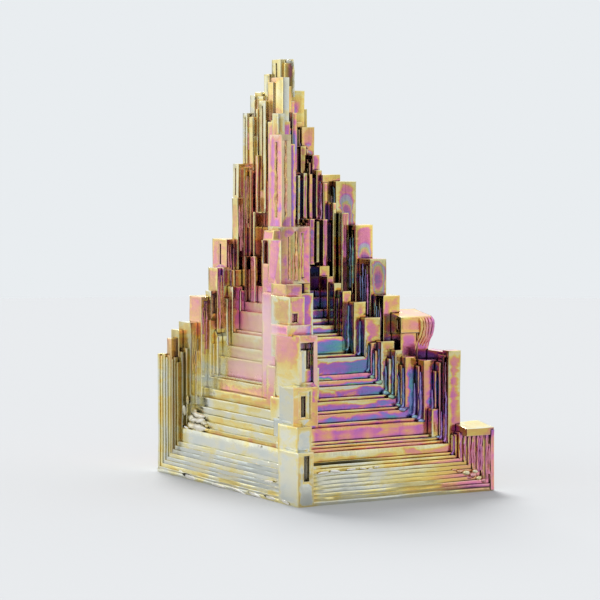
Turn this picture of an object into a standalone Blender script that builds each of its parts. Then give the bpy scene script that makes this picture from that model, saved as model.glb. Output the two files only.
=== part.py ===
# Bismuth hopper crystal: a skeletal stepped pyramid grown as one piece.
# Terraced frames climb inwards on its four faces, and the corners between the
# faces rise as ragged towers to a point behind the middle of the base.
#
# Sizes are millimetres while the shape is laid out.  The layout frame has its
# zero at the foot of the front corner: X runs along the front face, Y along
# the left face, Z up.  The finished solid is moved to the middle of its base.

import bpy
import bmesh
from mathutils import Vector

NODE_NAME = "bismuth_crystal"
MM = 0.001

BASE_X = 33.5          # length of the front face at the foot
BASE_Y = 43.6          # length of the left face at the foot
SEAT = 1.1             # how far a frame reaches into what is behind it
RISE = 0.13            # the core stays this far under a ledge
CORE_LEVELS = (1.5, 2.3, 3.5, 4.6, 5.9, 7.2, 8.2, 9.1, 10.2, 11.1, 12.3, 13.3, 14.3, 15.4,
               16.4, 17.6, 18.6, 19.9, 20.9, 22.3, 23.4, 24.6, 25.7, 26.8, 28.3, 29.1)
CLEAN_DISTANCE = 0.00001

# Front face (looks along -Y).  Each frame is a bar along the foot of its
# opening and a post at its right: plane y, bar top z, post inner x,
# post outer x, post top z.
FRONT_FRAMES = [
    (0.15, 1.10, 32.75, 33.35, 9.00),
    (0.33, 1.70, 32.10, 33.05, 8.70),
    (0.52, 2.25, 31.50, 32.60, 8.60),
    (0.72, 2.80, 30.85, 31.95, 8.55),
    (0.92, 3.35, 30.15, 31.35, 8.65),
    (1.12, 3.95, 29.55, 30.70, 8.50),
    (1.34, 4.45, 28.95, 30.05, 8.60),
    (1.58, 4.95, 28.35, 29.45, 8.75),
    (2.10, 5.40, 27.95, 28.90, 8.40),
    (2.55, 5.80, 27.65, 28.55, 8.30),
    (3.00, 7.10, 27.30, 29.50, 20.70),
    (3.60, 7.50, 26.95, 28.20, 20.00),
    (4.20, 7.90, 26.55, 27.75, 18.90),
    (4.80, 8.30, 26.15, 27.35, 17.60),
    (5.50, 10.20, 24.70, 26.90, 19.20),
    (6.40, 10.70, 24.25, 25.40, 18.30),
    (7.30, 11.90, 22.60, 24.55, 19.60),
    (7.90, 12.30, 22.20, 23.30, 18.40),
    (8.50, 13.60, 21.60, 22.90, 20.60),
    (9.20, 14.05, 20.90, 22.05, 19.30),
    (9.90, 15.60, 20.00, 22.40, 21.90),
    (10.50, 16.40, 19.40, 20.60, 20.50),
    (11.05, 17.20, 18.95, 20.05, 21.60),
    (11.60, 19.60, 18.20, 21.00, 25.30),
    (12.90, 20.00, 17.10, 19.20, 27.60),
    (14.40, 22.50, 16.05, 17.60, 29.20),
    (15.20, 22.95, 15.85, 16.75, 28.10),
    (16.10, 24.10, 15.60, 16.95, 30.30),
    (17.60, 25.00, 15.35, 16.50, 31.20),
    (18.60, 26.30, 15.45, 16.80, 30.00),
    (19.60, 28.10, 15.20, 17.00, 32.70),
]

# Left face (looks along -X).  Each frame: plane x, bar top z, post inner y,
# post outer y, post top z.
LEFT_FRAMES = [
    (0.12, 0.90, 42.80, 43.45, 18.50),
    (0.26, 1.45, 42.20, 43.15, 18.20),
    (0.40, 2.00, 41.55, 42.60, 18.60),
    (0.56, 2.60, 41.00, 42.10, 18.05),
    (0.72, 3.20, 40.40, 41.50, 18.35),
    (0.88, 3.85, 39.85, 40.90, 17.80),
    (1.06, 4.50, 39.35, 40.30, 18.10),
    (1.24, 5.20, 38.85, 39.80, 17.40),
    (1.70, 7.30, 38.30, 39.30, 19.00),
    (2.20, 7.85, 37.80, 38.75, 19.60),
    (2.60, 8.80, 37.45, 38.45, 18.20),
    (3.00, 9.80, 37.20, 38.15, 20.10),
    (3.40, 10.80, 37.00, 38.00, 19.20),
    (3.80, 12.20, 37.10, 37.85, 21.00),
    (4.30, 13.60, 36.30, 37.20, 22.30),
    (5.00, 15.30, 35.30, 36.70, 24.00),
    (5.50, 15.70, 35.05, 36.05, 20.30),
    (6.20, 18.50, 34.45, 35.60, 20.90),
    (6.75, 20.20, 32.90, 34.85, 27.40),
    (7.40, 22.20, 32.35, 34.20, 29.20),
    (8.00, 22.60, 33.00, 33.90, 31.70),
    (8.60, 25.50, 32.10, 33.30, 28.60),
    (9.30, 26.90, 31.90, 32.80, 33.80),
    (10.20, 29.40, 31.00, 31.70, 31.80),
]

# Towers of the right corner: x from, x to, y from, y to, top z.
RIGHT_TOWERS = [
    (32.85, 33.50, 0.00, 4.30, 9.10),
    (27.45, 29.30, 3.45, 10.00, 20.45),
    (23.30, 27.30, 9.60, 13.20, 24.90),
    (21.50, 24.50, 11.70, 16.60, 28.50),
    (21.00, 23.90, 14.60, 19.80, 33.80),
    (20.50, 23.60, 17.90, 23.40, 38.80),
    (19.30, 22.90, 21.60, 27.00, 45.30),
    (17.55, 20.70, 22.60, 26.20, 46.30),
    (16.80, 18.10, 24.30, 28.80, 49.30),
    (16.05, 18.25, 26.20, 30.40, 53.50),
    (15.90, 17.90, 28.40, 31.20, 59.10),
]

# Towers of the left corner, in the same order.
LEFT_TOWERS = [
    (0.80, 5.40, 40.10, 41.60, 21.00),
    (1.80, 6.20, 39.50, 42.10, 22.30),
    (2.60, 7.40, 37.20, 41.05, 23.60),
    (3.90, 9.20, 36.10, 40.00, 27.60),
    (5.20, 9.60, 35.30, 37.20, 28.50),
    (6.10, 11.20, 34.90, 37.90, 32.00),
    (6.80, 11.00, 34.20, 36.20, 32.10),
    (7.40, 13.00, 34.35, 38.90, 36.40),
    (8.90, 13.60, 33.45, 35.30, 42.70),
    (9.30, 14.20, 34.00, 35.80, 47.90),
    (9.90, 14.00, 33.30, 34.50, 47.40),
    (10.90, 15.20, 34.10, 35.50, 55.70),
    (12.00, 15.60, 33.75, 35.15, 58.40),
    (12.45, 15.50, 32.25, 34.45, 58.90),
    (12.80, 15.80, 30.50, 32.15, 61.60),
    (12.65, 15.00, 29.10, 30.70, 60.30),
    (13.50, 15.90, 28.40, 31.10, 63.80),
]

# Stacked boxes of the front corner: x from, x to, y from, y to, z from, z to.
FRONT_RIDGE = [
    (0.00, 2.60, 0.00, 5.60, 0.00, 7.70),
    (1.00, 3.40, 1.90, 7.40, 4.00, 11.10),
    (1.75, 5.90, 4.40, 8.30, 10.80, 16.40),
    (4.10, 7.20, 6.60, 13.70, 9.00, 23.60),
    (3.20, 7.30, 8.50, 13.50, 23.35, 24.90),
    (4.45, 7.00, 9.90, 15.40, 20.00, 28.90),
    (4.75, 7.50, 11.60, 15.90, 26.00, 30.65),
    (5.30, 10.25, 14.00, 17.80, 30.50, 38.90),
    (8.90, 10.60, 20.00, 23.65, 30.00, 52.30),
    (10.15, 11.35, 23.20, 25.10, 40.00, 55.50),
    (12.60, 13.75, 26.00, 28.35, 50.00, 61.00),
    (13.95, 15.40, 27.80, 29.30, 50.00, 63.20),
]

# Near legs of the left face, behind the front corner: x from, x to, y from,
# y to, top z.
LEFT_LEGS = [
    (1.90, 6.00, 4.80, 9.70, 8.25),
    (2.80, 7.00, 6.20, 11.90, 11.40),
    (3.50, 8.00, 8.00, 14.00, 14.30),
    (4.30, 9.00, 9.20, 16.60, 18.60),
    (4.85, 10.00, 12.60, 18.90, 29.20),
    (5.60, 11.00, 15.60, 20.10, 33.30),
]

# Columns that fill the inside of the front face above its last bar:
# x from, x to, y from, y to, z from, top z.
FRONT_COLUMNS = [
    (25.30, 27.45, 4.35, 6.40, 7.50, 12.10),
    (9.35, 10.45, 14.20, 20.00, 26.60, 33.00),
    (14.40, 15.15, 20.95, 25.00, 32.90, 39.70),
    (15.70, 16.15, 21.25, 25.00, 33.20, 39.30),
    (16.70, 17.50, 21.05, 25.00, 31.00, 39.60),
    (14.20, 18.60, 21.70, 25.30, 33.10, 39.10),
    (18.15, 18.75, 20.60, 25.00, 27.00, 42.10),
    (18.95, 20.20, 19.40, 25.00, 24.00, 40.60),
    (17.50, 18.30, 22.30, 26.00, 36.00, 45.10),
    (12.60, 13.35, 23.30, 27.00, 38.60, 46.90),
    (13.80, 14.20, 23.60, 27.00, 38.80, 46.20),
    (14.65, 15.30, 23.40, 27.00, 38.20, 46.60),
    (15.75, 16.30, 23.50, 27.00, 38.40, 46.40),
    (16.85, 17.90, 23.35, 27.00, 38.10, 47.00),
    (12.40, 17.60, 24.00, 27.60, 37.80, 45.90),
    (15.40, 16.30, 25.40, 28.50, 44.00, 50.60),
    (14.20, 15.00, 25.80, 29.00, 45.00, 55.60),
    (14.90, 15.50, 27.40, 29.60, 46.00, 57.40),
]

# The same inside the left face.
LEFT_COLUMNS = [
    (9.40, 13.00, 31.80, 32.80, 20.00, 33.80),
    (9.80, 13.30, 29.60, 31.20, 26.00, 33.90),
    (10.30, 13.60, 28.10, 28.70, 26.00, 36.40),
    (10.90, 13.90, 26.60, 27.30, 24.00, 38.80),
    (10.20, 13.60, 30.60, 31.10, 30.00, 40.60),
    (10.60, 13.90, 32.40, 33.00, 30.00, 46.90),
    (11.20, 14.40, 31.50, 32.10, 34.00, 49.20),
    (11.30, 14.60, 33.70, 34.30, 34.00, 54.80),
    (11.90, 14.60, 32.50, 33.10, 36.00, 56.30),
    (12.20, 14.80, 28.60, 29.10, 32.00, 54.60),
    (11.60, 14.60, 29.70, 31.65, 40.50, 57.50),
    (11.85, 14.20, 27.20, 27.90, 30.00, 50.20),
    (12.60, 15.20, 26.10, 26.60, 34.00, 53.30),
]

# Rear frames, which look along +X and +Y: plane, near post outer and inner
# edge, far post inner and outer edge, bar top, near post top, far post top.
REAR_X_FRAMES = [
    (33.35, 0.40, 4.60, 38.60, 43.40, 2.20, 9.05, 11.50),
    (32.85, 2.00, 5.30, 38.00, 42.95, 3.40, 8.80, 10.90),
    (32.15, 2.60, 6.00, 37.40, 42.50, 4.60, 8.20, 12.40),
    (31.20, 2.90, 6.70, 36.80, 42.15, 5.90, 8.50, 14.30),
    (30.20, 3.10, 7.40, 36.20, 41.85, 7.30, 8.90, 17.60),
    (29.15, 3.70, 8.20, 35.60, 41.55, 8.90, 20.10, 20.90),
    (28.55, 5.20, 9.20, 35.00, 41.20, 10.60, 19.00, 22.40),
    (27.75, 9.05, 10.50, 34.40, 40.85, 12.40, 24.90, 24.00),
    (26.85, 9.35, 11.70, 33.80, 40.45, 14.30, 23.10, 25.70),
    (25.85, 9.85, 12.90, 33.30, 40.05, 16.30, 24.10, 27.30),
    (24.95, 10.45, 14.10, 32.80, 39.65, 18.40, 22.30, 28.70),
    (24.15, 12.10, 15.40, 32.30, 39.35, 20.60, 28.10, 30.50),
    (23.55, 14.90, 17.10, 31.90, 39.05, 23.10, 33.30, 33.10),
    (23.05, 18.25, 20.30, 31.60, 38.65, 25.80, 38.20, 36.50),
    (22.35, 19.10, 21.70, 31.30, 38.10, 28.60, 36.10, 38.90),
    (21.60, 21.95, 23.50, 31.00, 37.50, 31.60, 44.70, 41.20),
    (20.80, 22.45, 24.70, 30.80, 36.90, 34.90, 43.10, 44.10),
    (20.00, 23.05, 25.60, 30.50, 36.30, 38.40, 45.80, 47.50),
    (19.20, 23.65, 26.20, 30.20, 35.70, 42.10, 44.30, 50.10),
    (18.05, 25.05, 27.20, 29.90, 34.90, 46.60, 48.60, 52.50),
    (17.50, 26.65, 28.10, 29.80, 33.90, 50.60, 53.10, 54.70),
    (16.85, 28.60, 29.40, 30.35, 32.70, 54.60, 58.60, 57.10),
]
REAR_Y_FRAMES = [
    (43.45, 0.50, 4.80, 29.00, 33.30, 2.40, 18.30, 11.20),
    (42.90, 0.90, 5.60, 28.40, 32.80, 3.60, 17.95, 12.70),
    (42.25, 1.35, 6.40, 27.80, 32.30, 5.20, 17.50, 14.10),
    (41.65, 1.95, 7.20, 27.20, 31.60, 6.90, 20.50, 17.10),
    (41.05, 2.75, 8.00, 26.60, 30.80, 8.70, 22.90, 19.70),
    (40.40, 3.05, 8.80, 26.00, 30.05, 10.70, 23.20, 22.10),
    (39.75, 4.10, 9.40, 25.40, 29.35, 12.90, 27.20, 24.70),
    (39.05, 4.70, 10.00, 24.80, 28.65, 15.20, 26.50, 26.30),
    (38.35, 7.65, 10.60, 24.20, 27.95, 17.60, 35.80, 28.10),
    (37.60, 6.45, 11.20, 23.60, 27.15, 20.20, 31.40, 31.10),
    (36.90, 8.05, 11.80, 23.00, 26.35, 23.20, 35.00, 33.50),
    (36.25, 8.85, 12.35, 22.40, 25.55, 26.60, 34.10, 36.90),
    (35.60, 9.65, 12.85, 21.80, 24.75, 30.20, 47.30, 39.70),
    (35.00, 10.25, 13.30, 21.20, 23.95, 34.20, 45.10, 42.50),
    (34.40, 11.15, 13.70, 20.50, 23.15, 38.60, 55.10, 45.50),
    (33.80, 11.65, 14.10, 19.80, 22.15, 43.20, 52.10, 48.30),
    (33.20, 12.25, 14.50, 18.90, 21.15, 47.80, 58.20, 51.30),
    (32.60, 12.65, 14.80, 18.00, 19.75, 52.00, 56.10, 53.90),
    (31.90, 13.05, 15.15, 16.95, 18.55, 55.80, 61.00, 56.30),
]

# Solid bodies of the corners behind their posts: x from, x to, y from, y to,
# top z.
CORNER_BODIES = [
    (29.20, 31.60, 2.00, 8.40, 8.45),
    (27.90, 30.20, 2.75, 8.70, 8.60),
    (24.90, 28.75, 5.95, 12.20, 18.70),
    (22.95, 27.55, 9.15, 15.20, 24.60),
    (21.70, 24.05, 12.05, 18.20, 27.80),
    (21.20, 23.45, 15.00, 21.20, 33.00),
    (20.70, 22.95, 18.30, 24.20, 37.90),
    (19.50, 22.20, 22.00, 28.20, 44.10),
    (16.40, 17.60, 24.70, 30.20, 48.10),
    (1.50, 8.20, 40.60, 43.10, 17.10),
    (3.20, 9.00, 38.20, 41.50, 21.60),
    (4.60, 10.50, 36.40, 39.50, 26.10),
    (7.90, 12.20, 34.80, 37.40, 31.00),
    (10.70, 13.90, 33.10, 35.00, 44.40),
    (12.60, 15.00, 31.20, 34.10, 54.30),
    (27.50, 33.50, 37.50, 43.60, 10.60),
    (26.80, 31.00, 36.50, 42.20, 17.20),
    (25.60, 29.90, 35.40, 41.40, 20.60),
    (24.60, 28.85, 34.50, 40.75, 23.80),
    (23.40, 27.85, 33.20, 39.95, 26.80),
    (22.20, 26.45, 32.20, 38.95, 30.20),
    (21.00, 25.25, 31.40, 38.00, 33.80),
    (20.00, 24.05, 31.05, 37.20, 37.20),
    (19.00, 22.85, 30.60, 36.40, 41.40),
    (18.20, 21.45, 30.05, 35.60, 46.00),
    (17.40, 20.05, 29.75, 34.80, 50.20),
    (16.60, 18.85, 29.60, 33.60, 54.05),
]

# Solid middle of the crystal above the last bars: x from, x to, y from, y to,
# top z.
MIDDLE_BODIES = [
    (11.20, 21.00, 22.90, 33.60, 31.00),
    (11.60, 19.60, 23.90, 33.30, 38.30),
    (12.20, 18.60, 24.40, 32.90, 45.20),
    (12.90, 17.00, 25.90, 32.30, 50.20),
    (13.40, 16.60, 27.00, 31.60, 54.20),
    (13.85, 16.40, 28.40, 31.00, 58.00),
    (8.20, 11.05, 16.60, 21.60, 37.10),
    (10.90, 12.25, 21.80, 27.50, 50.90),
    (11.30, 13.10, 24.60, 28.50, 54.30),
    (13.05, 14.70, 26.90, 29.60, 59.70),
]

# Pieces with a slanting top: axis they run along, from, to, then the outline.
SLANTED = [
    ("x", 28.60, 33.45, [(0.02, 8.30), (4.10, 8.30), (4.10, 10.05), (0.02, 9.40)]),
    ("x", 22.80, 28.20, [(8.80, 23.05), (13.50, 22.60), (13.50, 26.30), (8.80, 25.40)]),
    ("x", 5.85, 7.60, [(34.40, 14.90), (37.30, 14.90), (37.30, 23.90), (36.90, 23.95), (34.40, 21.50)]),
    ("x", 5.65, 8.50, [(15.60, 26.00), (19.55, 26.00), (19.55, 31.20), (17.60, 33.40), (15.60, 38.10)]),
    ("y", 14.05, 17.00, [(4.00, 36.90), (5.60, 36.90), (5.60, 38.50), (4.20, 38.35)]),
]

# Upright grooves in the inner sides of the right-hand towers, and of the left
# ones: x from, x to, y from, y to, z from, z to.
GROOVES = [
    (27.00, 27.75, 3.60, 4.05, 11.60, 19.70),
    (22.50, 23.05, 9.30, 9.90, 23.50, 25.00),
    (21.20, 21.90, 12.30, 12.75, 20.50, 27.70),
    (21.20, 21.80, 13.30, 13.85, 20.80, 27.90),
    (20.70, 21.45, 15.10, 15.50, 24.50, 33.00),
    (20.70, 21.30, 16.00, 16.45, 24.00, 32.70),
    (20.70, 21.50, 17.00, 17.35, 25.00, 32.90),
    (20.20, 20.95, 18.40, 18.90, 28.50, 38.00),
    (20.20, 20.80, 19.60, 20.00, 28.00, 37.60),
    (20.20, 21.00, 20.60, 21.10, 28.50, 37.80),
    (19.00, 19.80, 22.00, 22.45, 40.80, 44.50),
    (16.40, 17.20, 24.80, 25.30, 46.50, 48.70),
    (15.60, 16.45, 26.70, 27.20, 50.80, 52.80),
    (4.40, 5.00, 35.80, 36.60, 24.20, 26.90),
    (5.60, 5.95, 34.90, 35.70, 25.00, 27.90),
    (8.20, 8.60, 34.00, 34.90, 29.60, 35.60),
    (7.10, 7.65, 36.10, 36.55, 32.50, 35.60),
    (9.00, 9.75, 34.75, 35.10, 43.10, 47.20),
    (10.60, 11.30, 34.60, 34.90, 44.00, 55.00),
    (12.20, 12.85, 33.10, 33.55, 46.00, 58.20),
    (11.30, 11.95, 30.50, 30.80, 44.00, 56.70),
    (13.20, 13.90, 29.50, 29.85, 58.00, 63.20),
    (6.60, 6.95, 13.40, 14.25, 31.20, 37.40),
    (7.70, 8.15, 13.40, 14.30, 31.00, 38.20),
    (8.90, 9.15, 13.40, 14.20, 31.40, 37.90),
    (9.50, 9.80, 19.50, 20.30, 40.20, 51.40),
    (8.60, 9.15, 21.40, 21.90, 40.00, 51.20),
]

# Slots and stepped windows sunk into the front corner: x from, x to, y from,
# y to, z from, z to.
WINDOWS = [
    (1.05, 1.85, -1.00, 1.15, 3.60, 7.20),
    (2.70, 4.70, 3.00, 4.65, 11.85, 15.75),
    (3.30, 3.95, 3.00, 5.60, 12.10, 15.10),
    (4.55, 6.45, 5.00, 7.05, 16.80, 22.55),
    (4.35, 6.35, 5.00, 8.60, 21.35, 22.40),
    (5.55, 6.15, 5.00, 7.90, 18.70, 21.60),
    (4.85, 5.75, 9.00, 10.70, 25.20, 26.50),
]


def addPrism(mesh, outline, axis, start, end):
    """Extrude a closed outline, given in the two axes other than `axis`."""
    def place(a, b, depth):
        if axis == "x":
            return Vector((depth, a, b)) * MM
        return Vector((a, depth, b)) * MM

    low, high = min(start, end), max(start, end)
    first = [mesh.verts.new(place(a, b, low)) for a, b in outline]
    last = [mesh.verts.new(place(a, b, high)) for a, b in outline]
    caps = [mesh.faces.new(first), mesh.faces.new(last)]
    for i in range(len(outline)):
        j = (i + 1) % len(outline)
        caps.append(mesh.faces.new((first[i], first[j], last[j], last[i])))
    bmesh.ops.recalc_face_normals(mesh, faces=caps)


def addBlock(mesh, x0, x1, y0, y1, z0, z1):
    outline = [(x0, z0), (x1, z0), (x1, z1), (x0, z1)]
    addPrism(mesh, outline, "y", y0, y1)


def stepAt(frames, height, barIndex, direction):
    """Plane of the first frame whose bar reaches `height`."""
    for frame in frames:
        if frame[barIndex] >= height:
            return frame[0]
    return frames[-1][0] + direction


def addFaceFrames(mesh, frames, axis, legStart):
    """Nested bars and posts of one of the two near faces."""
    for i, (plane, bar, inner, outer, post) in enumerate(frames):
        following = frames[i + 1][0] if i + 1 < len(frames) else plane + 2.0
        foot = footOf(frames, i, 1)
        start = legStart(bar)
        outline = [(start, foot), (outer, foot), (outer, post),
                   (inner, post), (inner, bar), (start, bar)]
        addPrism(mesh, outline, axis, plane, following + SEAT)


def addRearFrames(mesh, frames, axis):
    """Nested bars with a post at both ends, on a rear face."""
    for i, frame in enumerate(frames):
        plane, near0, near1, far0, far1, bar, nearTop, farTop = frame
        following = frames[i + 1][0] if i + 1 < len(frames) else plane - 2.0
        foot = footOf(frames, i, 5)
        outline = [(near0, foot), (far1, foot), (far1, farTop), (far0, farTop),
                   (far0, bar), (near1, bar), (near1, nearTop), (near0, nearTop)]
        addPrism(mesh, outline, axis, plane, following - SEAT)


def footOf(frames, index, barIndex):
    """A frame starts inside the bars under it, or inside the foot slab."""
    if index < 3:
        return 0.20 + 0.03 * index
    return frames[index - 3][barIndex] - 0.07


def addCore(mesh):
    """Stepped middle that carries every bar, just under and behind it."""
    for i, height in enumerate(CORE_LEVELS):
        top = height - RISE
        x0 = stepAt(LEFT_FRAMES, top, 1, 1.0) + 0.4
        x1 = stepAt(REAR_X_FRAMES, top, 5, -1.0) - 0.4
        y0 = stepAt(FRONT_FRAMES, top, 1, 1.0) + 0.4
        y1 = stepAt(REAR_Y_FRAMES, top, 5, -1.0) - 0.4
        addBlock(mesh, x0, x1, y0, y1, 0.31 + 0.011 * i, top)


def makeObject(name, mesh):
    data = bpy.data.meshes.new(name)
    mesh.to_mesh(data)
    mesh.free()
    made = bpy.data.objects.new(name, data)
    bpy.context.scene.collection.objects.link(made)
    return made


def makeGrowth():
    """All overlapping prisms of the crystal, as one object."""
    mesh = bmesh.new()
    addFaceFrames(mesh, FRONT_FRAMES, "y", lambda bar: stepAt(LEFT_FRAMES, bar, 1, 1.0) + 0.55)
    addFaceFrames(mesh, LEFT_FRAMES, "x", lambda bar: stepAt(FRONT_FRAMES, bar, 1, 1.0) + 0.55)
    addRearFrames(mesh, REAR_X_FRAMES, "x")
    addRearFrames(mesh, REAR_Y_FRAMES, "y")
    addCore(mesh)
    tall = RIGHT_TOWERS + LEFT_TOWERS + LEFT_LEGS + CORNER_BODIES + MIDDLE_BODIES
    for i, (x0, x1, y0, y1, top) in enumerate(tall):
        addBlock(mesh, x0, x1, y0, y1, 0.16 + 0.0013 * i, top)
    for x0, x1, y0, y1, z0, z1 in FRONT_RIDGE[1:] + FRONT_COLUMNS + LEFT_COLUMNS:
        addBlock(mesh, x0, x1, y0, y1, z0, z1)
    for axis, start, end, outline in SLANTED:
        addPrism(mesh, outline, axis, start, end)
    return makeObject("growth", mesh)


def makeFoot():
    """Flat foot slab with the lowest box of the front corner."""
    mesh = bmesh.new()
    addBlock(mesh, 0.10, BASE_X, 0.12, BASE_Y, 0.0, 0.60)
    return makeObject("foot", mesh)


def makeFirstBox():
    mesh = bmesh.new()
    addBlock(mesh, *FRONT_RIDGE[0])
    return makeObject("first_box", mesh)


def makeWindows():
    mesh = bmesh.new()
    for x0, x1, y0, y1, z0, z1 in WINDOWS + GROOVES:
        addBlock(mesh, x0, x1, y0, y1, z0, z1)
    windows = makeObject("windows", mesh)
    windows.hide_render = True
    windows.display_type = "WIRE"
    return windows


def addBoolean(target, other, operation):
    cut = target.modifiers.new(other.name, "BOOLEAN")
    cut.operation = operation
    cut.object = other
    cut.solver = "EXACT"
    cut.use_self = True


def cleanMesh(data):
    """Merge the flat faces that the union left in strips."""
    mesh = bmesh.new()
    mesh.from_mesh(data)
    bmesh.ops.remove_doubles(mesh, verts=mesh.verts, dist=CLEAN_DISTANCE)
    bmesh.ops.dissolve_degenerate(mesh, edges=mesh.edges, dist=CLEAN_DISTANCE)
    bmesh.ops.dissolve_limit(mesh, angle_limit=0.003, verts=mesh.verts, edges=mesh.edges)
    bmesh.ops.triangulate(mesh, faces=mesh.faces)
    shift = Vector((-BASE_X / 2, -BASE_Y / 2, 0.0)) * MM
    bmesh.ops.translate(mesh, verts=mesh.verts, vec=shift)
    bmesh.ops.recalc_face_normals(mesh, faces=mesh.faces)
    mesh.to_mesh(data)
    mesh.free()


def makeMaterial():
    material = bpy.data.materials.new("oxide_bismuth")
    material.use_nodes = True
    shader = material.node_tree.nodes["Principled BSDF"]
    shader.inputs["Base Color"].default_value = (0.78, 0.58, 0.52, 1.0)
    shader.inputs["Metallic"].default_value = 1.0
    shader.inputs["Roughness"].default_value = 0.25
    return material


def main():
    for old in list(bpy.data.objects):
        bpy.data.objects.remove(old, do_unlink=True)

    growth = makeGrowth()
    foot = makeFoot()
    firstBox = makeFirstBox()
    windows = makeWindows()
    addBoolean(growth, foot, "UNION")
    addBoolean(growth, firstBox, "UNION")
    addBoolean(growth, windows, "DIFFERENCE")

    bpy.context.view_layer.update()
    shaped = growth.evaluated_get(bpy.context.evaluated_depsgraph_get())
    data = bpy.data.meshes.new_from_object(shaped)
    cleanMesh(data)
    data.name = NODE_NAME
    data.materials.clear()
    data.materials.append(makeMaterial())

    crystal = bpy.data.objects.new(NODE_NAME, data)
    bpy.context.scene.collection.objects.link(crystal)
    for helper in (growth, foot, firstBox, windows):
        bpy.data.objects.remove(helper, do_unlink=True)


main()
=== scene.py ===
import math
import random
from functools import partial
import bpy
import bmesh
import numpy as np
from mathutils import Matrix, Vector, noise
from mathutils.bvhtree import BVHTree
from mathutils.kdtree import KDTree


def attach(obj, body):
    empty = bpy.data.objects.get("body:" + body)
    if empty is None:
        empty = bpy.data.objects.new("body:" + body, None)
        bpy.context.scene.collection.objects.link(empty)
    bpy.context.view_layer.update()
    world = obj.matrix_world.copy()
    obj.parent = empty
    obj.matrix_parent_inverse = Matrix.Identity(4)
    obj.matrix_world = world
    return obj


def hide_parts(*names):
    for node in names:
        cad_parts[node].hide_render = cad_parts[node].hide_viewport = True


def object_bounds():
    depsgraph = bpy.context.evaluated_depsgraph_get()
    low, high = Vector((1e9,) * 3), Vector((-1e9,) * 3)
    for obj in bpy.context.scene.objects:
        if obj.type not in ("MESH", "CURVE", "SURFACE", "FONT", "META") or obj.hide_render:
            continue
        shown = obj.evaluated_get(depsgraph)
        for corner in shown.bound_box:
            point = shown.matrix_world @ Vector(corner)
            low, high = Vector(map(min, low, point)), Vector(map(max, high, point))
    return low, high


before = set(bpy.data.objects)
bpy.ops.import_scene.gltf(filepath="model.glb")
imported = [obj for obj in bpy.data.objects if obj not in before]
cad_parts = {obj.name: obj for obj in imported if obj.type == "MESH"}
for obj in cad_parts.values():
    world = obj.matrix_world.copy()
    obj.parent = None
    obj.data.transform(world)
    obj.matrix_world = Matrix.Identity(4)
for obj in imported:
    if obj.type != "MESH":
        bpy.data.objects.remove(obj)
cadLow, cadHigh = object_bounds()
cadBox = [list(cadLow), list(cadHigh)]
mm = 0.001

# The growth: the skin of the whole crystal, finer than the solid and coloured by its oxide film
crystal = {
    "node": "bismuth_crystal",
    "slot": "oxide_bismuth",
    "layoutShift": (-16.75, -21.8, 0.0),  # mm, from the foot of the front corner to the middle of the base
    "meshStep": 1.1,  # mm, longest edge of the finished mesh
    "rings": ((0.24, 0.16, 0.01), (0.5, 0.4, 0.035), (0.6, 0.7, 0.0)),  # width share, widest mm, sink mm
    "ringFrom": (0.0, 0.9, 2.2),  # mm, face width from which each ring is made
    "wander": 0.09,  # mm, how far the faces stray from flat
    "wanderSize": 4.2,  # mm, over what distance
    "edgeWear": 0.065,  # mm
    "creaseSink": 0.05,  # mm
    "liftedRings": (20.9, 28.3, 33.9, 2.3),  # mm, a tower with higher rings: beyond x, from z, to z, how much
    "sharpAngle": 32,  # degrees
    "shadeRays": 12,
    "shadeReach": 9.0,  # mm, how far the hollows are felt
}


def addObject(name, data):
    made = bpy.data.objects.new(name, data)
    bpy.context.scene.collection.objects.link(made)
    return made


def copyOfNode(name):
    grown = bmesh.new()
    grown.from_mesh(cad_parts[name].data)
    bmesh.ops.remove_doubles(grown, verts=grown.verts, dist=0.000003)
    bmesh.ops.dissolve_limit(grown, angle_limit=math.radians(0.6), verts=grown.verts, edges=grown.edges)
    grown.normal_update()
    return grown


def findEdges(grown):
    # the outer edges and the inner creases as pairs of points, metres
    outer, inner = [], []
    for edge in grown.edges:
        if len(edge.link_faces) != 2:
            continue
        turn = edge.calc_face_angle_signed(0.0)
        if abs(turn) >= 0.3:
            target = outer if turn > 0 else inner
            target.append((tuple(edge.verts[0].co), tuple(edge.verts[1].co)))
    return np.array(outer), np.array(inner)


def distanceTo(edges, points, spacing=0.0003, nearest=5):
    # from every point to the closest of the edges
    count = np.maximum(1, (np.linalg.norm(edges[:, 1] - edges[:, 0], axis=1) / spacing).astype(int))
    tree = KDTree(int((count + 1).sum()))
    number = 0
    ownerOf = []
    for i, (a, b) in enumerate(edges):
        for j in range(count[i] + 1):
            tree.insert(a + (b - a) * (j / count[i]), number)
            ownerOf.append(i)
            number += 1
    tree.balance()
    found = np.array([[ownerOf[hit[1]] for hit in tree.find_n(p, nearest)] for p in points])
    a, b = edges[found, 0], edges[found, 1]
    toPoint = np.array(points)[:, None, :] - a
    along = b - a
    share = (toPoint * along).sum(axis=2) / np.maximum((along * along).sum(axis=2), 1e-18)
    apart = toPoint - np.clip(share, 0, 1)[:, :, None] * along
    return np.linalg.norm(apart, axis=2).min(axis=1)


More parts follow.
